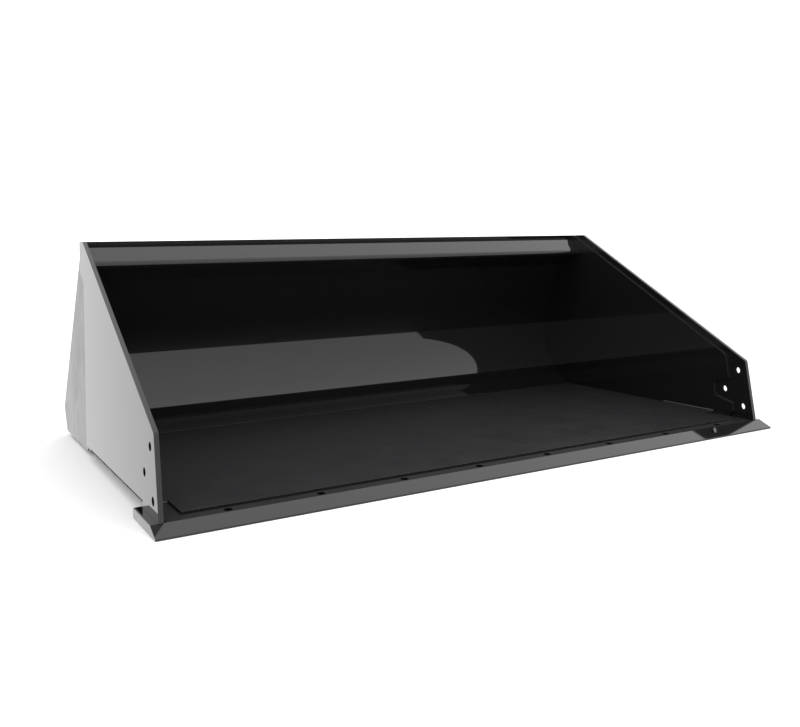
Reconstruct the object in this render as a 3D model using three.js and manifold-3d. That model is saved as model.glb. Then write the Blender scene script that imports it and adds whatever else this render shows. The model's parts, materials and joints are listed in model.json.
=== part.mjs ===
// A skid steer bucket: a welded steel shell with a bevelled cutting edge, doubled sides, a rolled back,
// a boxed top lip and a universal quick-attach mount. Millimetres, +Z up. The open front faces -Y and
// the mount faces +Y. Left and right are as seen looking in through the open front, so +X is right.
// Side views are drawn with y measured from the tip of the cutting edge and z from its underside.
import * as THREE from "three";
import { mergeVertices } from "three/addons/utils/BufferGeometryUtils.js";
import Module from "manifold-3d";

const wasm = await Module();
wasm.setup();

// ---------------------------------------------------------------- driving dimensions
const weldGap = 0.3; // left between plates that are welded face to face

const bucketWidth = 2134; // over the outer faces of the side plates, 84 in
const topHeight = 693; // top edge of the side plates and of the back sheet

const edgeThickness = 25.4;
const edgeDepth = 203.2;
const edgeOverhang = 20; // past each side plate
const edgeTipLand = 5; // blunt height left at the tip
const bevelRun = 46;
const edgeBoltCount = 8;
const edgeBoltInset = 178; // end holes, from the side plates' outer faces
const edgeBoltSetback = 64; // hole centres behind the tip
const boltHoleRadius = 11.5;

const sheetThickness = 6.35; // floor, back and inner side sheets
const floorFront = 86; // front edge of the floor sheet behind the tip
const floorCutWidth = 47; // width of the square cut at each front corner
const floorCutLap = 2.4; // the cut stops this far before the cutting edge's rear side

const backRadius = 268; // inside of the rolled back
const backBelly = 1145; // furthest point of the inside, behind the tip
const backFoot = 66; // degrees below level where the rolled back starts, at the floor
const backLean = 27; // degrees that the straight upper back leans forward

const channelTopDrop = 12; // below the top edge, where the channel's face meets the back sheet
const channelFootDrop = 129; // and where its underside does
const channelNoseDrop = 80; // its front corner, before rounding
const channelNoseLead = 81; // in front of the back sheet's top edge
const channelNoseRadius = 14;

const plateThickness = 12.7; // outer side plates
const plateToe = 44; // front edge of the side plate behind the tip, at the cutting edge
const plateFrontLean = 8.5; // degrees that the front edge leans back
const plateKnuckleRise = 206.5; // above the cutting edge, where the front edge turns into the slope
const plateKnuckleRadius = 14;
const plateTopFrontLead = 76.8; // in front of the back sheet's top edge: the end of the slope,
const plateTopRearLead = 25.8; // the rear end of the top edge,
const plateRearLead = 85.8; // and the lower rear edge
const plateShoulderDrop = 130; // below the top edge, where the rear edge starts to widen
const plateShoulderTopDrop = 96; // and where it has reached its full width
const plateLift = 19.3; // of the bottom edge behind the foot, above the cutting edge
const footLength = 144; // of the foot that stands on the cutting edge

const sideBoltInset = 39; // from the front edge of the plate, square to it
const sideBoltStart = 47.3; // lowest hole, along the front edge
const sideBoltPitch = 129; // between the two front holes
const sideBoltBack = 67; // the third hole, behind the middle of those two

const sheetSetback = 74; // inner sheet behind the plate's front edge, square to it
const sheetInset = 25.4; // inner sheet below the plate's slope, square to it
const notchReach = 36.5; // behind the third hole
const notchHalfHeight = 26.6; // at the notch's closed end
const notchFlare = 14.5; // degrees that each side opens
const notchRadius = 20;
const sheetToeCut = 20; // height of the cut at the inner sheet's lower front corner

const heelThickness = 9.5;
const heelLap = 56; // in front of the line where the rolled back meets the floor
const rearCornerReach = 197; // lowest point of the leaning rear plane, behind the back's belly
const rearCornerRun = 52; // and behind the rear end of the flat heel
const rearCornerRise = 79; // and above the heel's underside
const rearTopMargin = 2; // the rear plane passes this far behind the back sheet's top edge

const wearBarCount = 4;
const wearBarWidth = 76.2;
const wearBarInset = 190; // outer bars' centres, from the side plates' outer faces
const wearBarEndGap = 12; // between the bars and the cutting edge or the heel plate

const mountWidth = 1144;
const mountPlateWidth = 370;
const mountPlateThickness = 9.5;
const mountPlateStart = 12; // up the rear plane from its lowest point
const mountPlateLength = 388;
const ribThickness = 9.5;
const ribTopDrop = 6; // tops of the ribs below the top of the mount plates
const ribInset = 25; // mount ribs' centres, from the edges of the mount plates
const endRibInset = 247; // end ribs' centres, from the side plates' outer faces
const hookLegLength = 60;
const hookLipLength = 68;
const hookAngle = 50; // degrees between the lip and the rear plane
const hookThickness = 9.5;
const hookBendRadius = 5;
const gussetHeight = 62;
const flangeLength = 72;
const flangeAngle = 115; // degrees between the lower flange and the rear plane
const flangeThickness = 12.7;
const slotSpacing = 914; // between the two slots' centres
const slotWidth = 70;
const slotDepth = 36;
const slotSetback = 18; // from the rear plane to the slot

// ---------------------------------------------------------------- sizes that follow
const halfWidth = bucketWidth / 2;
const plateInner = halfWidth - plateThickness;
const sheetOuter = plateInner - weldGap;
const sheetInner = sheetOuter - sheetThickness;
const shellHalf = sheetInner - weldGap; // floor, back and top channel reach this far each way
const edgeTop = edgeThickness + weldGap;
const floorBottom = edgeTop;
const floorTop = floorBottom + sheetThickness;
const heelTop = floorBottom - weldGap;
const heelBottom = heelTop - heelThickness;

const radians = THREE.MathUtils.degToRad;
const at = (y, z) => new THREE.Vector2(y, z);
const heading = (degrees) => at(Math.cos(radians(degrees)), Math.sin(radians(degrees)));

// A line in a side view: a point and a heading. along() walks it, offset() moves it to its left.
class Line {
  constructor(point, direction) {
    this.point = point;
    this.direction = direction.clone().normalize();
  }
  along(distance) {
    return this.point.clone().addScaledVector(this.direction, distance);
  }
  offset(distance) {
    const left = at(-this.direction.y, this.direction.x);
    return new Line(this.point.clone().addScaledVector(left, distance), this.direction);
  }
  meet(other) {
    const between = other.point.clone().sub(this.point);
    return this.along(between.cross(other.direction) / this.direction.cross(other.direction));
  }
}
const level = (z) => new Line(at(0, z), at(1, 0));
const upright = (y) => new Line(at(y, 0), at(0, 1));
const through = (a, b) => new Line(a, b.clone().sub(a));

// The rolled back: an arc about backCentre, then a straight line that leans forward from the arc's end.
const backStartAngle = -radians(backFoot);
const backEndAngle = radians(backLean);
const backCentre = at(backBelly - backRadius, floorTop - backRadius * Math.sin(backStartAngle));
const backCrease = backCentre.x + backRadius * Math.cos(backStartAngle);
function backFace(outward) {
  const reach = backRadius + outward;
  const arcEnd = backCentre.clone().addScaledVector(heading(backLean), reach);
  return new Line(arcEnd, heading(90 + backLean));
}
const backTopFront = backFace(0).meet(level(topHeight));
const backTopRear = backFace(sheetThickness).meet(level(topHeight));

// The edges of the side plates and side sheets.
const plateFront = new Line(at(plateToe, edgeTop), heading(90 - plateFrontLean));
const plateKnuckle = plateFront.meet(level(edgeTop + plateKnuckleRise));
const plateTopFront = at(backTopFront.x - plateTopFrontLead, topHeight);
const plateSlope = through(plateKnuckle, plateTopFront);
const sheetFront = plateFront.offset(-sheetSetback);
const sheetSlope = plateSlope.offset(-sheetInset);

// The heel, and the leaning plane that the mount lies on.
const heelStart = backCrease - heelLap;
const rearCorner = at(backBelly + rearCornerReach, heelBottom + rearCornerRise);
const heelRear = at(rearCorner.x - rearCornerRun, heelBottom);
const rearTop = at(backTopRear.x + rearTopMargin, topHeight);
const rearPlane = through(rearCorner, rearTop);
const rearLean = THREE.MathUtils.radToDeg(rearPlane.direction.angle());

// ---------------------------------------------------------------- helpers
// A closed outline through corners. A corner given as [point, radius] is rounded with that radius.
function outline(corners) {
  const shape = new THREE.Shape();
  const points = corners.map((corner) => (Array.isArray(corner) ? corner[0] : corner));
  corners.forEach((corner, i) => {
    const point = points[i];
    const draw = i === 0 ? "moveTo" : "lineTo";
    if (!Array.isArray(corner)) {
      shape[draw](point.x, point.y);
      return;
    }
    const radius = corner[1];
    const before = points.at(i - 1).clone().sub(point).normalize();
    const after = points[(i + 1) % points.length].clone().sub(point).normalize();
    const halfAngle = Math.acos(before.dot(after)) / 2;
    const start = point.clone().addScaledVector(before, radius / Math.tan(halfAngle));
    const end = point.clone().addScaledVector(after, radius / Math.tan(halfAngle));
    const middle = before.clone().add(after).normalize();
    const centre = point.clone().addScaledVector(middle, radius / Math.sin(halfAngle));
    const turnsRight = before.cross(after) > 0;
    shape[draw](start.x, start.y);
    const from = start.clone().sub(centre).angle();
    const to = end.clone().sub(centre).angle();
    shape.absarc(centre.x, centre.y, radius, from, to, turnsRight);
  });
  shape.closePath();
  return shape;
}

function roundHole(centre, radius) {
  return new THREE.Path().absarc(centre.x, centre.y, radius, 0, 2 * Math.PI, true);
}

// Extrudes a side view, drawn in Y and Z, across the bucket from x = from to x = to.
const sideToSpace = new THREE.Matrix4().makeBasis(
  new THREE.Vector3(0, 1, 0),
  new THREE.Vector3(0, 0, 1),
  new THREE.Vector3(1, 0, 0),
);
function across(shape, from, to, curveSegments = 6) {
  const options = { depth: to - from, bevelEnabled: false, curveSegments };
  const geometry = new THREE.ExtrudeGeometry(shape, options);
  return geometry.applyMatrix4(sideToSpace).translate(from, 0, 0);
}

// A plate bent along a side view: the corners of one face, the thickness to its left, and the
// inside radius of each bend.
function bentPlate(corners, thickness, insideRadius) {
  const count = corners.length;
  const faces = corners.slice(1).map((corner, i) => through(corners[i], corner));
  const inner = faces.map((face) => face.offset(thickness));
  const near = [];
  const far = [];
  for (let i = 0; i < count; i++) {
    if (i === 0 || i === count - 1) {
      const face = i === 0 ? faces[0] : faces[count - 2];
      near.push(corners[i]);
      far.push(new Line(corners[i], face.direction).offset(thickness).point);
    } else {
      const turnsLeft = faces[i - 1].direction.cross(faces[i].direction) > 0;
      const outsideRadius = insideRadius + thickness;
      near.push([corners[i], turnsLeft ? outsideRadius : insideRadius]);
      far.push([inner[i - 1].meet(inner[i]), turnsLeft ? insideRadius : outsideRadius]);
    }
  }
  return outline([...near, ...far.reverse()]);
}

function toSolid(geometry) {
  const bare = geometry.clone();
  bare.deleteAttribute("normal");
  bare.deleteAttribute("uv");
  const merged = mergeVertices(bare, 1e-4);
  const vertProperties = merged.attributes.position.array;
  const triVerts = new Uint32Array(merged.index.array);
  return new wasm.Manifold(new wasm.Mesh({ numProp: 3, vertProperties, triVerts }));
}

function toGeometry(solid) {
  const mesh = solid.getMesh();
  const geometry = new THREE.BufferGeometry();
  geometry.setAttribute("position", new THREE.BufferAttribute(mesh.vertProperties, 3));
  geometry.setIndex(new THREE.BufferAttribute(mesh.triVerts, 1));
  return geometry;
}

function cut(geometry, tools) {
  const solid = tools.reduce((rest, tool) => rest.subtract(toSolid(tool)), toSolid(geometry));
  return toGeometry(solid);
}

// ---------------------------------------------------------------- the group and its finishes
const shellPaint = { color: 0x0b0b0c, roughness: 0.12, metalness: 0 };
const edgePaint = { color: 0x0e0e0f, roughness: 0.16, metalness: 0 };
const framePaint = { color: 0x0b0b0c, roughness: 0.2, metalness: 0 };

const bucket = new THREE.Group();
function add(name, geometry, finish) {
  const mesh = new THREE.Mesh(geometry, new THREE.MeshStandardMaterial(finish));
  mesh.name = name;
  bucket.add(mesh);
}
const ends = [
  ["left", -1],
  ["right", 1],
];
// Extrudes between two distances from the middle, on the given side of the bucket.
function onSide(sign, shape, near, far, curveSegments) {
  return across(shape, Math.min(sign * near, sign * far), Math.max(sign * near, sign * far), curveSegments);
}

// ---------------------------------------------------------------- cutting edge
function cuttingEdge() {
  const section = outline([
    at(0, 0),
    at(edgeDepth, 0),
    at(edgeDepth, edgeThickness),
    at(bevelRun, edgeThickness),
    at(0, edgeTipLand),
  ]);
  const half = halfWidth + edgeOverhang;
  const boltSpan = bucketWidth - 2 * edgeBoltInset;
  const holes = Array.from({ length: edgeBoltCount }, (_, i) => {
    const x = (i / (edgeBoltCount - 1) - 0.5) * boltSpan;
    const drill = new THREE.CylinderGeometry(boltHoleRadius, boltHoleRadius, 3 * edgeThickness, 28);
    return drill.rotateX(Math.PI / 2).translate(x, edgeBoltSetback, edgeThickness / 2);
  });
  return cut(across(section, -half, half), holes);
}

// ---------------------------------------------------------------- floor and back
function floorSheet() {
  const rear = backCrease - weldGap;
  const cutHalf = shellHalf - floorCutWidth;
  const cutRear = edgeDepth - floorCutLap;
  const half = [
    at(cutHalf, floorFront),
    at(cutHalf, cutRear),
    at(shellHalf, cutRear),
    at(shellHalf, rear),
  ];
  const mirrored = half.map((point) => at(-point.x, point.y));
  const plan = outline([...half, ...mirrored.reverse()]);
  const geometry = new THREE.ExtrudeGeometry(plan, { depth: sheetThickness, bevelEnabled: false });
  return geometry.translate(0, 0, floorBottom);
}

function backSheet() {
  const shape = new THREE.Shape();
  const outerRadius = backRadius + sheetThickness;
  const { x, y } = backCentre;
  shape.absarc(x, y, outerRadius, backStartAngle, backEndAngle, false);
  shape.lineTo(backTopRear.x, backTopRear.y);
  shape.lineTo(backTopFront.x, backTopFront.y);
  shape.absarc(x, y, backRadius, backEndAngle, backStartAngle, true);
  shape.closePath();
  return across(shape, -shellHalf, shellHalf, 14);
}

function topChannel() {
  const against = backFace(-weldGap);
  const upper = against.meet(level(topHeight - channelTopDrop));
  const nose = at(backTopFront.x - channelNoseLead, topHeight - channelNoseDrop);
  const lower = against.meet(level(topHeight - channelFootDrop));
  const face = through(upper, nose);
  const underside = through(nose, lower);
  const innerFace = face.offset(sheetThickness);
  const innerUnderside = underside.offset(sheetThickness);
  return across(
    outline([
      upper,
      [nose, channelNoseRadius],
      lower,
      innerUnderside.meet(against),
      [innerFace.meet(innerUnderside), channelNoseRadius - sheetThickness],
      innerFace.meet(against),
    ]),
    -shellHalf,
    shellHalf,
  );
}

// ---------------------------------------------------------------- sides
// The three side bolt holes, from the plate's toe: along the front edge, and square to it.
const boltLine = plateFront.offset(-sideBoltInset);
const lowerBolt = boltLine.along(sideBoltStart);
const upperBolt = boltLine.along(sideBoltStart + sideBoltPitch);
const rearBolt = boltLine.offset(-sideBoltBack).along(sideBoltStart + sideBoltPitch / 2);

function sidePlate(sign) {
  const footRear = plateToe + footLength;
  const rear = backTopFront.x - plateRearLead;
  const topRear = backTopFront.x - plateTopRearLead;
  const shape = outline([
    plateFront.point,
    at(footRear, edgeTop),
    at(footRear, edgeTop + plateLift),
    at(rear, edgeTop + plateLift),
    at(rear, topHeight - plateShoulderDrop),
    at(topRear, topHeight - plateShoulderTopDrop),
    at(topRear, topHeight),
    plateTopFront,
    [plateKnuckle, plateKnuckleRadius],
  ]);
  shape.holes = [lowerBolt, upperBolt, rearBolt].map((centre) => roundHole(centre, boltHoleRadius));
  return onSide(sign, shape, plateInner, halfWidth, 14);
}

function sideSheet(sign) {
  const notchEnd = upright(rearBolt.x + notchReach);
  const notchTop = new Line(notchEnd.meet(level(rearBolt.y + notchHalfHeight)), heading(-notchFlare));
  const notchBottom = new Line(notchEnd.meet(level(rearBolt.y - notchHalfHeight)), heading(notchFlare));
  const toe = sheetFront.meet(level(edgeTop + sheetToeCut));
  const shape = outline([
    at(toe.x + sheetToeCut, edgeTop),
    at(heelStart - heelThickness, floorBottom),
    at(heelStart, heelBottom),
    heelRear,
    rearCorner,
    rearTop,
    sheetSlope.meet(level(topHeight)),
    [sheetSlope.meet(sheetFront), plateKnuckleRadius],
    notchTop.meet(sheetFront),
    [notchTop.point, notchRadius],
    [notchBottom.point, notchRadius],
    notchBottom.meet(sheetFront),
    toe,
  ]);
  return onSide(sign, shape, sheetInner, sheetOuter);
}

// ---------------------------------------------------------------- underside
function heelPlate() {
  const corners = [at(heelStart, heelBottom), heelRear, rearCorner];
  return across(bentPlate(corners, heelThickness, heelThickness), -shellHalf, shellHalf);
}

function wearBar(x) {
  const start = edgeDepth + wearBarEndGap;
  const length = heelStart - wearBarEndGap - start;
  const height = floorBottom - weldGap;
  const bar = new THREE.BoxGeometry(wearBarWidth, length, height);
  return bar.translate(x, start + length / 2, height / 2);
}

// ---------------------------------------------------------------- rear ribs
const mountPlateEnd = mountPlateStart + mountPlateLength;

// A rib fills the space between the rolled back and a line that is offset from the rear plane.
function rib(x, rearLine) {
  const clear = sheetThickness + weldGap;
  const reach = backRadius + clear;
  const heelFace = through(heelRear, rearCorner).offset(heelThickness + weldGap);
  const bottom = level(heelTop + weldGap);
  const startAngle = -Math.asin((backCentre.y - bottom.point.y) / reach);
  const top = level(rearPlane.along(mountPlateEnd).y - ribTopDrop);
  const heelCorner = bottom.meet(heelFace);
  const bendClear = 2 * heelThickness; // keeps the rib's corner off the inside of the heel's bend
  const rearFoot = heelFace.meet(rearLine);
  const shape = new THREE.Shape();
  shape.absarc(backCentre.x, backCentre.y, reach, backEndAngle, startAngle, true);
  shape.lineTo(heelCorner.x - bendClear, heelCorner.y);
  const raised = heelCorner.clone().addScaledVector(heelFace.direction, bendClear);
  shape.lineTo(raised.x, raised.y);
  shape.lineTo(rearFoot.x, rearFoot.y);
  const topRear = rearLine.meet(top);
  const topFront = backFace(clear).meet(top);
  shape.lineTo(topRear.x, topRear.y);
  shape.lineTo(topFront.x, topFront.y);
  shape.closePath();
  return across(shape, x - ribThickness / 2, x + ribThickness / 2, 10);
}

// ---------------------------------------------------------------- quick-attach mount
// Its pieces are placed along the rear plane, measured up it from its lowest point.
const mountHalf = mountWidth / 2;

function mountPlate(sign) {
  const front = rearPlane.offset(mountPlateThickness);
  const corners = [
    rearPlane.along(mountPlateStart),
    rearPlane.along(mountPlateEnd),
    front.along(mountPlateEnd),
    front.along(mountPlateStart),
  ];
  return onSide(sign, outline(corners), mountHalf - mountPlateWidth, mountHalf);
}

const hookLegStart = mountPlateEnd + weldGap;
const hookBend = rearPlane.along(hookLegStart + hookLegLength);
const hookLip = new Line(hookBend, heading(rearLean + 180 + hookAngle));

function hookRail() {
  const corners = [rearPlane.along(hookLegStart), hookBend, hookLip.along(hookLipLength)];
  return across(bentPlate(corners, hookThickness, hookBendRadius), -mountHalf, mountHalf);
}

function hookGusset(x) {
  const lip = hookLip.offset(hookThickness + weldGap);
  const back = backFace(sheetThickness + weldGap);
  const start = lip.along(hookThickness + hookBendRadius);
  const overBend = level(hookBend.y + hookThickness + weldGap);
  const shape = outline([
    back.meet(overBend),
    overBend.meet(upright(start.x)),
    start,
    lip.along(hookLipLength - hookThickness),
    back.meet(level(overBend.point.y + gussetHeight)),
  ]);
  return across(shape, x - ribThickness / 2, x + ribThickness / 2);
}

function lowerFlange() {
  const direction = heading(rearLean - flangeAngle);
  const top = new Line(rearPlane.along(mountPlateStart - weldGap), direction);
  const bottom = top.offset(-flangeThickness);
  const start = new Line(rearPlane.point, rearPlane.direction).offset(-weldGap);
  const section = outline([
    top.meet(start),
    bottom.meet(start),
    bottom.along(flangeLength),
    top.along(flangeLength),
  ]);
  const slots = [-1, 1].map((sign) => {
    const slot = new THREE.BoxGeometry(slotWidth, slotDepth, 4 * flangeThickness);
    const middle = top.along(slotSetback + slotDepth / 2);
    slot.rotateX(direction.angle());
    return slot.translate((sign * slotSpacing) / 2, middle.x, middle.y);
  });
  return cut(across(section, -mountHalf, mountHalf), slots);
}

// ---------------------------------------------------------------- assembly
add("cutting_edge", cuttingEdge(), edgePaint);
add("floor_sheet", floorSheet(), shellPaint);
add("back_sheet", backSheet(), shellPaint);
add("top_channel", topChannel(), shellPaint);
for (const [side, sign] of ends) {
  add(`side_plate_${side}`, sidePlate(sign), shellPaint);
  add(`side_sheet_${side}`, sideSheet(sign), shellPaint);
}

const wearBarSpan = bucketWidth - 2 * wearBarInset;
for (let i = 0; i < wearBarCount; i++) {
  const x = (i / (wearBarCount - 1) - 0.5) * wearBarSpan;
  add(`wear_bar_${i + 1}`, wearBar(x), edgePaint);
}

add("heel_plate", heelPlate(), framePaint);
const plateFace = rearPlane.offset(mountPlateThickness + weldGap);
const ribPlaces = [
  -mountHalf + ribInset,
  -mountHalf + mountPlateWidth - ribInset,
  mountHalf - mountPlateWidth + ribInset,
  mountHalf - ribInset,
];
ribPlaces.forEach((x, i) => {
  add(`mount_rib_${i + 1}`, rib(x, plateFace), framePaint);
  add(`hook_gusset_${i + 1}`, hookGusset(x), framePaint);
});
for (const [side, sign] of ends) {
  add(`end_rib_${side}`, rib(sign * (halfWidth - endRibInset), rearPlane), framePaint);
  add(`mount_plate_${side}`, mountPlate(sign), framePaint);
}
add("hook_rail", hookRail(), framePaint);
add("lower_flange", lowerFlange(), framePaint);

// The origin is on the ground under the middle of the bucket's box.
bucket.updateMatrixWorld(true);
const box = new THREE.Box3().setFromObject(bucket);
bucket.position.y = -(box.min.y + box.max.y) / 2;

export default bucket;
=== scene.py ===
# %% [markdown]
# # A skid steer bucket, from CAD solids to a finished picture
#
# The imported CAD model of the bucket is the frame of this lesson. It holds every plate at its real
# size, but with knife-sharp edges, a rolled back made of wide flats, and no welds. This script gives
# each plate the edges, curves and paint that it has when it leaves the paint shop. Nothing is moved:
# every place comes from the frame.

# %% Load the frame
import json
import math

import bmesh
import bpy
from mathutils import Matrix, Vector


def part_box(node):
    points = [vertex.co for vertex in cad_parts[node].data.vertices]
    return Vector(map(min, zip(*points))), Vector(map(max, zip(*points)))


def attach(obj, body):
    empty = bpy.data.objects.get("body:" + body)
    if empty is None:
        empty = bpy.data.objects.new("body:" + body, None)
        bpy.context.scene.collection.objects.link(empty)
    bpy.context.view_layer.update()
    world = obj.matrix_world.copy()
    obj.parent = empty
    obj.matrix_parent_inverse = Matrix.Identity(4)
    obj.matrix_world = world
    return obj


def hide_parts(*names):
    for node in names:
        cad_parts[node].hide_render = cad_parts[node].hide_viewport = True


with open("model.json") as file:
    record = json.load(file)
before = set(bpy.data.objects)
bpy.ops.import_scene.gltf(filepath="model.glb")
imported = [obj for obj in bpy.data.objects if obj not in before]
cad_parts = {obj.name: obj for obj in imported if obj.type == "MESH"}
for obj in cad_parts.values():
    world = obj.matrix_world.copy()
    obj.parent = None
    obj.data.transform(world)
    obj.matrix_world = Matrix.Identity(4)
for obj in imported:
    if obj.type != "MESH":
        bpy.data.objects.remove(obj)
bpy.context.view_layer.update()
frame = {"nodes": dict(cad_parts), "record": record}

# %% [markdown]
# ## The camera
#
# The bucket is seen from its front left corner, from about its own height, with a normal lens. The
# picture is shifted a little down and to the right instead of tilting the camera, as a view camera
# does, so that upright edges stay upright. The small roll stands for the way a bucket rests on its
# heel, slightly nose up.

# %% Camera
CAMERA_PLACE = Vector((-1.6085, -2.6653, 0.6775))
CAMERA_FORWARD = Vector((0.4877, 0.8730, -0.0061))
CAMERA_UP = Vector((0.0170, -0.0025, 0.9999))
LENS_MM = 38.83
SENSOR_MM = 36.0
SHIFT = (0.0375, -0.1453)
NEAR_CLIP, FAR_CLIP = 0.05, 200.0


def make_camera():
    """Adds the camera and makes it the scene's own."""
    data = bpy.data.cameras.new("camera")
    data.lens = LENS_MM
    data.sensor_width = SENSOR_MM
    data.shift_x, data.shift_y = SHIFT
    data.clip_start, data.clip_end = NEAR_CLIP, FAR_CLIP
    camera = bpy.data.objects.new("camera", data)
    right = CAMERA_FORWARD.cross(CAMERA_UP).normalized()
    up = right.cross(CAMERA_FORWARD).normalized()
    turn = Matrix((right, up, -CAMERA_FORWARD.normalized())).transposed()
    camera.matrix_world = Matrix.Translation(CAMERA_PLACE) @ turn.to_4x4()
    bpy.context.scene.collection.objects.link(camera)
    bpy.context.scene.camera = camera
    return camera


camera = make_camera()
print("camera at", [round(value, 3) for value in camera.location], "lens", LENS_MM, "mm")

# %% [markdown]
# ## Shader maths in Python
#
# A material is a graph of nodes, and graphs are hard to read as code. This small class wraps one
# output socket, so that `patches * dust + haze` adds the Math nodes by itself, and any other node is
# made by one method.

# %% A wire of the shader graph


class Wire:
    """One output socket. Python's + and * on wires add Math nodes."""

    def __init__(self, socket):
        self.socket = socket

    @classmethod
    def node(cls, tree, kind, settings=None, sockets=None, output=0):
        """Adds a node: its settings first, then the values or wires of its input sockets."""
        made = tree.nodes.new(kind)
        for name, value in (settings or {}).items():
            setattr(made, name, value)
        for name, value in (sockets or {}).items():
            if isinstance(value, Wire):
                tree.links.new(value.socket, made.inputs[name])
            else:
                made.inputs[name].default_value = value
        return cls(made.outputs[output])

    def output(self, name):
        """Another output of the same node."""
        return Wire(self.socket.node.outputs[name])

    def into(self, socket):
        """Links the wire into an input socket."""
        self.socket.id_data.links.new(self.socket, socket)

    def math(self, operation, other):
        """Adds a Math node that takes this wire and another wire or number."""
        settings = {"operation": operation}
        return Wire.node(self.socket.id_data, "ShaderNodeMath", settings, {0: self, 1: other})

    def least(self, other):
        """The smaller of the two."""
        return self.math("MINIMUM", other)

    def __add__(self, other):
        return self.math("ADD", other)

    def __mul__(self, other):
        return self.math("MULTIPLY", other)


print("wires know +, * and the smaller of two")

# %% [markdown]
# ## The studio
#
# Black gloss paint has almost no colour of its own: what the eye sees is the room, mirrored. So the
# studio matters as much as the paint. A white room gives calm, flat reflections that end sharply where
# one plate mirrors another. The room is a World colour brighter than white, a little dimmer near the
# horizon and on the side that the bucket opens to. A matt floor catches the soft shadow under the
# bucket. The floor is hidden from mirror rays, so that the sides mirror the pale room right down to the
# ground instead of their own shadow. The Standard view keeps whites white.

# %% Studio
ROOM_LEVEL = 1.58  # strength of the World at the horizon behind the bucket
FRONT_DIMMING = 0.2  # how much weaker it is straight in front
OVERHEAD_GAIN = 0.24  # how much it gains with the height of the direction
OVERHEAD_START = 0.5  # the height, of 1 straight up, where it stops gaining
FLOOR_WHITE = 0.9
FLOOR_HALF_WIDTH = 60.0  # metres


def make_room():
    """Adds the white room, dimmer towards the front and low down."""
    world = bpy.data.worlds.new("studio")
    world.use_nodes = True
    tree = world.node_tree
    direction = Wire.node(tree, "ShaderNodeTexCoord")
    rearward = Wire.node(tree, "ShaderNodeSeparateXYZ", sockets={0: direction}, output="Y")
    upward = rearward.output("Z")
    dimming = rearward.least(0.0) * FRONT_DIMMING
    level = dimming + upward.least(OVERHEAD_START) * OVERHEAD_GAIN + ROOM_LEVEL
    level.into(tree.nodes["Background"].inputs["Strength"])
    tree.nodes["Background"].inputs["Color"].default_value = (1.0, 1.0, 1.0, 1.0)
    bpy.context.scene.world = world
    bpy.context.scene.view_settings.view_transform = "Standard"


def make_studio_floor():
    """Adds the pale floor."""
    mesh = bpy.data.meshes.new("studio_floor")
    shape = bmesh.new()
    bmesh.ops.create_grid(shape, x_segments=1, y_segments=1, size=FLOOR_HALF_WIDTH)
    shape.to_mesh(mesh)
    shape.free()
    floor = bpy.data.objects.new("studio_floor", mesh)
    floor.visible_glossy = False
    bpy.context.scene.collection.objects.link(floor)
    material = bpy.data.materials.new("studio_floor")
    material.use_nodes = True
    shader = material.node_tree.nodes["Principled BSDF"]
    shader.inputs["Base Color"].default_value = (FLOOR_WHITE, FLOOR_WHITE, FLOOR_WHITE, 1.0)
    shader.inputs["Roughness"].default_value = 1.0
    shader.inputs["Specular IOR Level"].default_value = 0.0
    mesh.materials.append(material)


make_room()
make_studio_floor()
print("room level", ROOM_LEVEL, "over a floor", 2 * FLOOR_HALF_WIDTH, "m wide")

# %% [markdown]
# ## Black gloss paint
#
# The whole bucket is sprayed with one black enamel. Close up it isn't a perfect mirror: the film has
# orange peel, a skin of shallow bumps a few millimetres across, and the plates under it are very
# slightly wavy. Both are only micrometres to tenths of a millimetre high, so a Bump node carries them.
# The gloss varies a little from place to place, and a faint film of dust greys the black. Bump heights
# are real heights in metres, which keeps them honest.
#
# Some places lose the gloss. The floor of the bucket dries to an even satin, and its lighter black is
# painted sheen that stands in for the room mirrored evenly in the floor. The side sheets get a duller
# coat, and the walls of the bolt holes get only a thin dry mist over their scale; the same dark matt
# finish is put on the lip of the side sheets as painted shade. A satin film scatters light instead of
# mirroring it, so it takes more roughness and a weaker mirror.

# %% Paint
PAINT_IOR = 1.5
PEEL_SCALE = 260.0  # bumps of orange peel in a metre
WAVE_SCALE = 3.5  # waves of the plates in a metre
PATCH_SCALE = 9.0  # patches of gloss and dust in a metre
PATCH_MIDDLE = 0.5  # the average of the patches
DUST_COLOUR = (0.12, 0.115, 0.105, 1.0)
BLUE_CAST = 1.08  # blue of the enamel over its red and green
MIRROR = 0.5  # the shader's own strength of mirror for a full gloss


def paint(name, black, dust, roughness, peel, wave, mirror=MIRROR):
    """A black enamel. Peel and wave are the heights in metres of its fine and its wide unevenness."""
    material = bpy.data.materials.new(name)
    material.use_nodes = True
    tree = material.node_tree
    shader = tree.nodes["Principled BSDF"]
    shader.inputs["IOR"].default_value = PAINT_IOR
    shader.inputs["Specular IOR Level"].default_value = mirror
    place = Wire.node(tree, "ShaderNodeTexCoord", output="Object")

    def noise(scale, detail):
        sockets = {"Vector": place, "Scale": scale, "Detail": detail}
        return Wire.node(tree, "ShaderNodeTexNoise", sockets=sockets)

    patches = noise(PATCH_SCALE, detail=4.0)
    film = Wire.node(
        tree,
        "ShaderNodeMix",
        {"data_type": "RGBA"},
        {0: patches * dust, 6: (black, black, black * BLUE_CAST, 1.0), 7: DUST_COLOUR},
        output=2,
    )
    film.into(shader.inputs["Base Color"])
    (patches * roughness + PATCH_MIDDLE * roughness).into(shader.inputs["Roughness"])
    height = noise(PEEL_SCALE, detail=1.0) * peel + noise(WAVE_SCALE, detail=0.0) * wave
    bump = Wire.node(tree, "ShaderNodeBump", sockets={"Distance": 1.0, "Height": height})
    bump.into(shader.inputs["Normal"])
    return material


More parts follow.
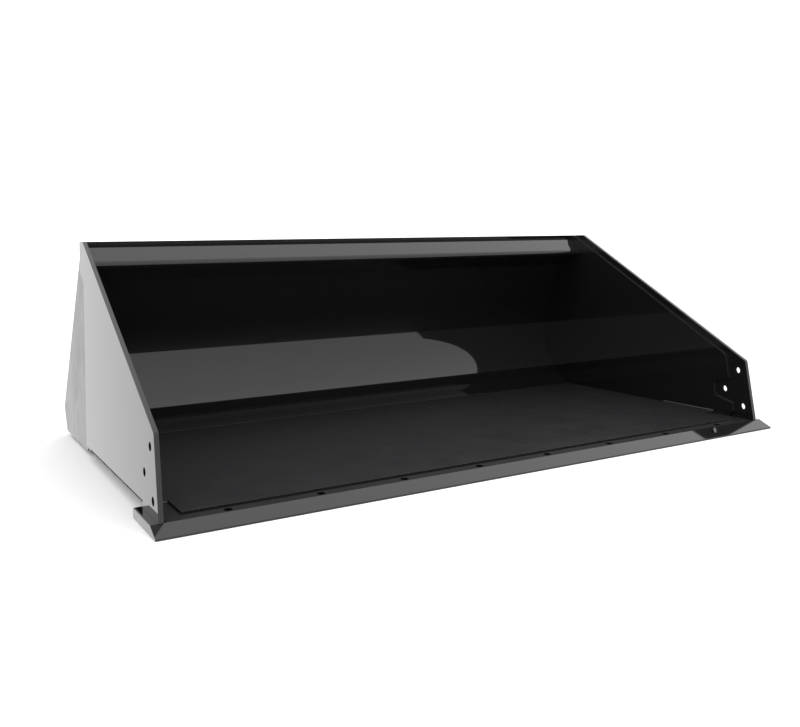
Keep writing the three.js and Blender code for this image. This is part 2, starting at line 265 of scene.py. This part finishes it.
looks = {
    "shell_paint": dict(black=0.0056, dust=0.008, roughness=0.04, peel=1.5e-6, wave=4e-5),
    "edge_paint": dict(black=0.004, dust=0.012, roughness=0.05, peel=2.5e-6, wave=3e-5),
    "frame_paint": dict(black=0.004, dust=0.03, roughness=0.10, peel=5e-6, wave=4e-5),
    # satin: its lighter black is painted sheen, standing in for the room mirrored evenly in the floor
    "satin_painted_sheen": dict(black=0.0174, dust=0.01, roughness=0.4, peel=4e-6, wave=0.0, mirror=0.08),
    "side_paint": dict(black=0.004, dust=0.01, roughness=0.22, peel=2e-6, wave=4e-5, mirror=0.28),
    # the matt black of the bolt hole walls, also put on the side sheets' lip as painted shade
    "hole_scale_and_lip_shade": dict(black=0.001, dust=0.006, roughness=0.7, peel=2e-5, wave=0.0, mirror=0.03),
}
paints = {name: paint(name, **look) for name, look in looks.items()}
print("paints:", ", ".join(paints))

# %% [markdown]
# ## From a CAD plate to a real plate
#
# A plate that has been cut, ground and painted has no knife edges: each edge is a narrow round that
# catches a line of light. To get it, the CAD mesh is copied, its loose triangles are merged into whole
# faces, every sharp edge is bevelled, and weighted normals keep the big faces flat while the rounds
# shade smoothly. Keeping the CAD mesh and bevelling it is better than modelling the plates again,
# because no size can drift.

# %% Finish a plate
SHARP = math.radians(21.0)  # an edge that turns by more gets a round
WELDED = 2e-5  # corners nearer than this are one, in metres
FLAT = math.radians(0.6)  # neighbour faces that turn by less are one
ROUND_SEGMENTS = 2
STRONGEST = 100  # large faces decide the normals at their corners


def mesh_piece(name, mesh, slot):
    """Makes a mesh a painted piece that rides on the bucket."""
    piece = bpy.data.objects.new(name, mesh)
    bpy.context.scene.collection.objects.link(piece)
    mesh.materials.append(paints[slot])
    mesh.shade_smooth()
    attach(piece, "root")
    return piece


def to_mesh(name, shape):
    """Turns a bmesh shape into a mesh, and frees it."""
    mesh = bpy.data.meshes.new(name)
    shape.to_mesh(mesh)
    shape.free()
    return mesh


def weighted(piece):
    """Adds weighted normals, so that large faces stay flat."""
    normals = piece.modifiers.new("weighted_normals", "WEIGHTED_NORMAL")
    normals.keep_sharp = True
    normals.weight = STRONGEST
    return piece


def sharp_edges(shape):
    """The edges that turn by more than a smooth bend does."""
    return [edge for edge in shape.edges if edge.is_manifold and edge.calc_face_angle() > SHARP]


def bevel(shape, edges, radius):
    """Rounds edges."""
    bmesh.ops.bevel(
        shape,
        geom=edges,
        offset=radius,
        offset_type="OFFSET",
        segments=ROUND_SEGMENTS,
        profile=0.5,
        affect="EDGES",
        clamp_overlap=True,
        material=-1,
    )


def finish_plate(node, slot, radius):
    """A copy of a CAD plate with merged faces and rounded edges, which stands for the CAD node."""
    shape = bmesh.new()
    shape.from_mesh(frame["nodes"][node].data)
    bmesh.ops.remove_doubles(shape, verts=shape.verts, dist=WELDED)
    bmesh.ops.dissolve_limit(
        shape, angle_limit=FLAT, verts=shape.verts, edges=shape.edges, use_dissolve_boundaries=False
    )
    bevel(shape, sharp_edges(shape), radius)
    name = node + "_finished"
    piece = weighted(mesh_piece(name, to_mesh(name, shape), slot))
    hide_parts(node)
    return piece


# %% [markdown]
# ## The plates
#
# Heavy plates get a wider edge round than thin sheets. The wear bars are hot rolled flats, whose
# corners are rounder than a flame cut plate's. The cutting edge is ground to its bevel, and the floor
# sheet is sheared, so both stay crisper.

# %% Plates
SHEET_ROUND = 0.0006
PLATE_ROUND = 0.0009
BAR_ROUND = 0.0012
GROUND_ROUND = 0.0006
FLOOR_ROUND = 0.0003

plate_rounds = {
    "cutting_edge": ("edge_paint", GROUND_ROUND),
    "floor_sheet": ("shell_paint", FLOOR_ROUND),
    "top_channel": ("shell_paint", SHEET_ROUND),
    "side_plate_left": ("shell_paint", PLATE_ROUND),
    "side_plate_right": ("shell_paint", PLATE_ROUND),
    "side_sheet_left": ("shell_paint", SHEET_ROUND),
    "side_sheet_right": ("shell_paint", SHEET_ROUND),
    "heel_plate": ("frame_paint", SHEET_ROUND),
    "hook_rail": ("frame_paint", PLATE_ROUND),
    "lower_flange": ("frame_paint", PLATE_ROUND),
}
for node in frame["nodes"]:
    if node.startswith("wear_bar"):
        plate_rounds[node] = ("edge_paint", BAR_ROUND)
    elif node.startswith(("mount_rib", "hook_gusset", "end_rib", "mount_plate")):
        plate_rounds[node] = ("frame_paint", SHEET_ROUND)

finished = {node: finish_plate(node, *rest) for node, rest in sorted(plate_rounds.items())}
faces = sum(len(piece.data.polygons) for piece in finished.values())
print(len(finished), "plates finished,", faces, "faces")

# %% [markdown]
# ## Second finishes
#
# Some faces of a plate have another finish than the rest. A mesh can hold several materials, and each
# face says by its index which one it wears. Where a finish ends in the middle of a face, a flat cut
# across the mesh first gives the face an edge there, which changes no shape.
#
# The top of the floor sheet is satin with a painted sheen, and so is the cutting edge between the sides.
# The outer side of the thin side sheets gets a duller coat than the thick plates. The lip that sticks
# out
# below those plates is painted shade: it gets the dark matt finish of the hole walls, which stands in
# for the contact shadow that it would mirror. The walls of the bolt holes are found through the openings
# that
# the CAD record states: a face whose middle lies close to a hole's axis, and which doesn't look along
# it, is a wall.

# %% Second finishes
HOLE_REACH = 0.0137  # from a hole's axis to just past its rim, in metres
LEVEL = 0.98  # a normal that rises this much is upright
ALONG_AXIS = 0.5  # a normal with more than this along an axis looks along it
X_AXIS, Z_AXIS = 0, 2


def repaint(piece, finish, chosen):
    """Gives the chosen faces of a piece another finish."""
    mesh = piece.data
    mesh.materials.append(paints[finish])
    faces = [face for face in mesh.polygons if chosen(face)]
    for face in faces:
        face.material_index = len(mesh.materials) - 1
    print(piece.name, "has", len(faces), "faces in", finish)


def split(piece, place, normal):
    """Cuts a piece's faces along a plane and keeps both sides."""
    shape = bmesh.new()
    shape.from_mesh(piece.data)
    everything = shape.verts[:] + shape.edges[:] + shape.faces[:]
    bmesh.ops.bisect_plane(shape, geom=everything, plane_co=place, plane_no=normal)
    shape.to_mesh(piece.data)
    shape.free()


def hole_walls(word, axis):
    """A test for faces on the walls of the holes whose names hold a word and that run along an axis."""
    openings = frame["record"]["physics"]["openings"]
    boxes = [opening["box_m"] for opening in openings if word in opening["name"]]
    middles = [(Vector(low) + Vector(high)) / 2.0 for low, high in boxes]

    def chosen(face):
        if abs(face.normal[axis]) > ALONG_AXIS:
            return False
        for middle in middles:
            away = face.center - middle
            away[axis] = 0.0
            if away.length < HOLE_REACH:
                return True
        return False

    return chosen


def farthest(node, *direction):
    """The CAD corner of a node farthest in a direction. A small second part picks among equals."""
    return max((vert.co for vert in frame["nodes"][node].data.vertices), key=Vector(direction).dot)


sheet_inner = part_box("side_sheet_right")[0].x
for x in (-sheet_inner, sheet_inner):
    split(finished["cutting_edge"], (x, 0.0, 0.0), (1.0, 0.0, 0.0))
# the top of the cutting edge between the sides gets the satin with its painted sheen
repaint(
    finished["cutting_edge"],
    "satin_painted_sheen",
    lambda face: face.normal.z > LEVEL and abs(face.center.x) < sheet_inner,
)
repaint(finished["cutting_edge"], "hole_scale_and_lip_shade", hole_walls("edge_bolt", Z_AXIS))
# the top of the floor sheet gets the satin with its painted sheen
repaint(finished["floor_sheet"], "satin_painted_sheen", lambda face: face.normal.z > LEVEL)
lip_end = farthest("side_plate_right", 0.0, 0.5, -1.0)


# the lip's faces are painted dark and matt as shade, in place of the contact shadow they would mirror
def on_shaded_lip(face):
    """Whether a face of a side sheet lies below the outer plate, and isn't on the inside."""
    outward = face.normal.x * math.copysign(1.0, face.center.x) > -ALONG_AXIS
    return outward and face.center.z < lip_end.z and face.center.y < lip_end.y


def on_outside(face):
    """Whether a face of a side sheet looks away from the bucket, above the lip or behind it."""
    return face.normal.x * face.center.x > 0.0 and not on_shaded_lip(face)


for side in ("left", "right"):
    sheet = finished["side_sheet_" + side]
    split(sheet, lip_end, (0.0, 0.0, 1.0))
    split(sheet, lip_end, (0.0, 1.0, 0.0))
    repaint(sheet, "side_paint", on_outside)
    # painted shade: the lip below the outer plate gets the dark matt finish, standing in for the shadow
    # it would mirror
    repaint(sheet, "hole_scale_and_lip_shade", on_shaded_lip)
    repaint(finished["side_plate_" + side], "hole_scale_and_lip_shade", hole_walls("side_bolt", X_AXIS))

# %% [markdown]
# ## The rolled back
#
# The back sheet is one sheet rolled to a quarter round and left straight above it. Mirror paint shows
# every flat of a coarse curve, so the CAD sheet isn't bevelled but made again: a point is spun round
# the roll's centre into a fine arc, one more point is pulled up the straight and past the top, the
# line is drawn out across the bucket, the sheet gets its thickness, and a level cut trims the top.

# %% Back sheet
BACK_RADIUS = 0.268  # inside of the roll, in metres
BACK_LEAN = math.radians(27.0)  # how far the upper back leans forward
SHEET_THICKNESS = 0.00635
ROLL_STEPS = 72

back_low, back_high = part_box("back_sheet")
floor_low, floor_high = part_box("floor_sheet")
roll_y = back_high.y - BACK_RADIUS - SHEET_THICKNESS
roll_foot = math.asin((floor_high.z - back_low.z) / SHEET_THICKNESS)
roll_z = floor_high.z + BACK_RADIUS * math.sin(roll_foot)
print("roll centre", round(roll_y, 4), round(roll_z, 4), "foot", round(math.degrees(roll_foot), 2))


def on_roll(x, radius, angle):
    """A point of the roll, at an angle above level."""
    return Vector((x, roll_y + radius * math.cos(angle), roll_z + radius * math.sin(angle)))


def up_straight(start, height):
    """The point where the straight upper back, from its start, reaches a height."""
    rise = height - start.z
    return start + Vector((0.0, -rise * math.tan(BACK_LEAN), rise))


def new_verts(made):
    """The vertices among what an operator made."""
    return [item for item in made if isinstance(item, bmesh.types.BMVert)]


def make_back_sheet():
    """The rolled sheet, from a spun point."""
    shape = bmesh.new()
    centre = Vector((back_low.x, roll_y, roll_z))
    start = bmesh.ops.create_vert(shape, co=on_roll(back_low.x, BACK_RADIUS, -roll_foot))["vert"]
    turn = roll_foot + BACK_LEAN
    spun = bmesh.ops.spin(
        shape, geom=start, cent=centre, axis=(1.0, 0.0, 0.0), angle=turn, steps=ROLL_STEPS
    )
    arc_end = new_verts(spun["geom_last"])
    pulled = bmesh.ops.extrude_vert_indiv(shape, verts=arc_end)["verts"]
    past_top = up_straight(arc_end[0].co, back_high.z + 2.0 * SHEET_THICKNESS)
    bmesh.ops.translate(shape, verts=pulled, vec=past_top - arc_end[0].co)
    drawn = bmesh.ops.extrude_edge_only(shape, edges=shape.edges)["geom"]
    bmesh.ops.translate(shape, verts=new_verts(drawn), vec=(back_high.x - back_low.x, 0.0, 0.0))
    bmesh.ops.recalc_face_normals(shape, faces=shape.faces)
    faces_front = sum(face.normal.y for face in shape.faces) < 0.0
    thickness = SHEET_THICKNESS if faces_front else -SHEET_THICKNESS
    bmesh.ops.solidify(shape, geom=shape.faces, thickness=thickness)
    everything = shape.verts[:] + shape.edges[:] + shape.faces[:]
    top = (0.0, 0.0, back_high.z)
    bmesh.ops.bisect_plane(shape, geom=everything, plane_co=top, plane_no=(0, 0, 1), clear_outer=True)
    bmesh.ops.holes_fill(shape, edges=[edge for edge in shape.edges if edge.is_boundary])
    bmesh.ops.recalc_face_normals(shape, faces=shape.faces)
    bevel(shape, sharp_edges(shape), SHEET_ROUND)
    name = "back_sheet_rolled"
    piece = weighted(mesh_piece(name, to_mesh(name, shape), "shell_paint"))
    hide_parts("back_sheet")
    return piece


back_sheet = make_back_sheet()
back_rear = max(vert.co.y for vert in back_sheet.data.vertices)
print("back sheet", len(back_sheet.data.polygons), "faces, rear at", round(back_rear, 4), "m")

# %% [markdown]
# ## Weld beads
#
# The bucket is held together by fillet welds: beads of steel laid into the corners between plates. A
# bead is close to round, and its surface carries a ripple for each pulse of the weld pool. Each bead
# here is a curve along the seam with a round bevel, whose radius rises and falls along the way, and it
# is then turned into a mesh. Half of the bead is inside the plates, as the melted metal is. A curve
# needs only the ends and bends of its seam, and these come from the corners of the CAD plates.

# %% Beads
BEAD_STEP = 0.0022  # metres between the points of a bead
RIPPLE_LENGTH = 0.0075  # metres along the bead
RIPPLE_DEPTH = 0.10  # a share of the bead's radius
SWELL_LENGTH = 0.11
SWELL_DEPTH = 0.07
BEAD_RESOLUTION = 2


def walk(corners, closed):
    """Evenly spaced points along straight stretches from corner to corner, each with its distance."""
    ends = corners[1:] + corners[:1] if closed else corners[1:]
    travelled = 0.0
    places = []
    for start, end in zip(corners, ends):
        length = (end - start).length
        steps = max(1, round(length / BEAD_STEP))
        places += [(start.lerp(end, i / steps), travelled + length * i / steps) for i in range(steps)]
        travelled += length
    if not closed:
        places.append((corners[-1], travelled))
    return places


def bead_size(distance):
    """The bead's thickness along its way, around 1."""
    ripple = math.cos(2.0 * math.pi * distance / RIPPLE_LENGTH)
    swell = math.sin(2.0 * math.pi * distance / SWELL_LENGTH)
    return 1.0 + RIPPLE_DEPTH * ripple + SWELL_DEPTH * swell


def make_weld(name, seams, radius, slot="frame_paint", closed=False):
    """One piece of beads, one bead along each seam."""
    curve = bpy.data.curves.new(name, "CURVE")
    curve.dimensions = "3D"
    curve.bevel_depth = radius
    curve.bevel_resolution = BEAD_RESOLUTION
    curve.use_fill_caps = not closed
    for seam in seams:
        places = walk(seam, closed)
        spline = curve.splines.new("POLY")
        spline.points.add(len(places) - 1)
        spline.use_cyclic_u = closed
        for point, (place, distance) in zip(spline.points, places):
            point.co = (*place, 1.0)
            point.radius = bead_size(distance)
    holder = bpy.data.objects.new(name, curve)
    bpy.context.scene.collection.objects.link(holder)
    seen = holder.evaluated_get(bpy.context.evaluated_depsgraph_get())
    mesh = bpy.data.meshes.new_from_object(seen)
    bpy.data.objects.remove(holder)
    mesh.name = name
    return mesh_piece(name, mesh, slot)


def at_x(x, corner):
    """A corner moved across the bucket."""
    return Vector((x, corner.y, corner.z))


def both_sides(node, route):
    """A route of corners, once at each side face of a plate that stands across the bucket."""
    low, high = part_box(node)
    return [[at_x(x, corner) for corner in route] for x in (low.x, high.x)]


# %% [markdown]
# ## Where the beads run
#
# The short stitch welds along the floor's sides start behind the cutting edge and are seen from the
# front. All others are on the underside and behind the back: around each wear bar, behind the cutting
# edge, along the heel plate, on both sides of each rib and gusset, where the mount plates meet the hook
# and the lower flange, and where the back and the heel meet the side sheets. A rib's front follows the
# roll, so its seam is worked out with the roll's own circle.

# %% Seams
STITCH_LENGTH = 0.238  # metres
STITCH_RADIUS = 0.006
FILLET_RADIUS = 0.0048
BUTT_RADIUS = 0.0036
ROLL_BEAD_STEP = math.radians(4.0)
NEAR = 1e-4  # heights and depths that differ by less are equal
DIGITS = 5  # digits of a metre that tell two corners apart
welds = []

edge_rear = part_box("cutting_edge")[1].y
for side, sign in (("left", -1.0), ("right", 1.0)):
    start = Vector((sign * floor_high.x, edge_rear, floor_high.z))
    end = start + Vector((0.0, STITCH_LENGTH, 0.0))
    welds.append(make_weld("stitch_weld_" + side, [[start, end]], STITCH_RADIUS, "shell_paint"))

for node in sorted(frame["nodes"]):
    if node.startswith("wear_bar"):
        low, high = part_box(node)
        corners = [(low.x, low.y), (high.x, low.y), (high.x, high.y), (low.x, high.y)]
        loop = [Vector((x, y, high.z)) for x, y in corners]
        welds.append(make_weld(node + "_weld", [loop], FILLET_RADIUS, "edge_paint", closed=True))

heel_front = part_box("heel_plate")[0].y
front_seams = []
for y in (edge_rear, heel_front):
    front_seams.append([Vector((x, y, floor_low.z)) for x in (floor_low.x, floor_high.x)])
welds.append(make_weld("floor_welds", front_seams, FILLET_RADIUS))


def roll_route(top):
    """Along the outside of the rolled back, from the heel up to a height."""
    radius = BACK_RADIUS + SHEET_THICKNESS
    steps = round((roll_foot + BACK_LEAN) / ROLL_BEAD_STEP)
    angles = [-roll_foot + (roll_foot + BACK_LEAN) * i / steps for i in range(1, steps + 1)]
    route = [on_roll(0.0, radius, angle) for angle in angles]
    route.append(up_straight(route[-1], top))
    return route


def foot_route(node):
    """Along the foot of a rib, over the heel plate and up its bent rear."""
    verts = frame["nodes"][node].data.vertices
    corners = {(round(vert.co.y, DIGITS), round(vert.co.z, DIGITS)) for vert in verts}
    lowest = min(z for y, z in corners)
    flat = [y for y, z in corners if z < lowest + NEAR]
    foot = [(y, z) for y, z in corners if z < lowest + NEAR or y > max(flat) + NEAR]
    return [Vector((0.0, y, z)) for y, z in sorted(foot)]


for node in sorted(frame["nodes"]):
    if node.startswith(("mount_rib", "end_rib")):
        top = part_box(node)[1].z
        seams = both_sides(node, roll_route(top)) + both_sides(node, foot_route(node))
        if node.startswith("mount_rib"):
            seams += both_sides(node, [farthest(node, 0, 1, 0), farthest(node, 0, 0.01, 1)])
        welds.append(make_weld(node + "_weld", seams, FILLET_RADIUS))
    elif node.startswith("hook_gusset"):
        back_line = [farthest(node, 0, -0.01, -1), farthest(node, 0, -1, 0.2)]
        lip_line = [farthest(node, 0, 0.1, -1), farthest(node, 0, 1, -0.1)]
        seams = both_sides(node, back_line) + both_sides(node, lip_line)
        welds.append(make_weld(node + "_weld", seams, BUTT_RADIUS))

for side, sign in (("left", -1.0), ("right", 1.0)):
    node = "mount_plate_" + side
    low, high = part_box(node)
    top, bottom = farthest(node, 0, 0, 1), farthest(node, 0, 1, 0)
    seams = [[at_x(low.x, corner), at_x(high.x, corner)] for corner in (top, bottom)]
    welds.append(make_weld(node + "_weld", seams, BUTT_RADIUS))
    inner = sign * back_high.x
    side_seams = [[at_x(inner, corner) for corner in roll_route(back_high.z - FILLET_RADIUS)]]
    side_seams.append([at_x(inner, corner) for corner in foot_route("end_rib_" + side)])
    welds.append(make_weld("side_sheet_%s_weld" % side, side_seams, FILLET_RADIUS))

triangles = sum(len(face.vertices) - 2 for piece in welds for face in piece.data.polygons)
print(len(welds), "weld pieces,", triangles, "triangles")
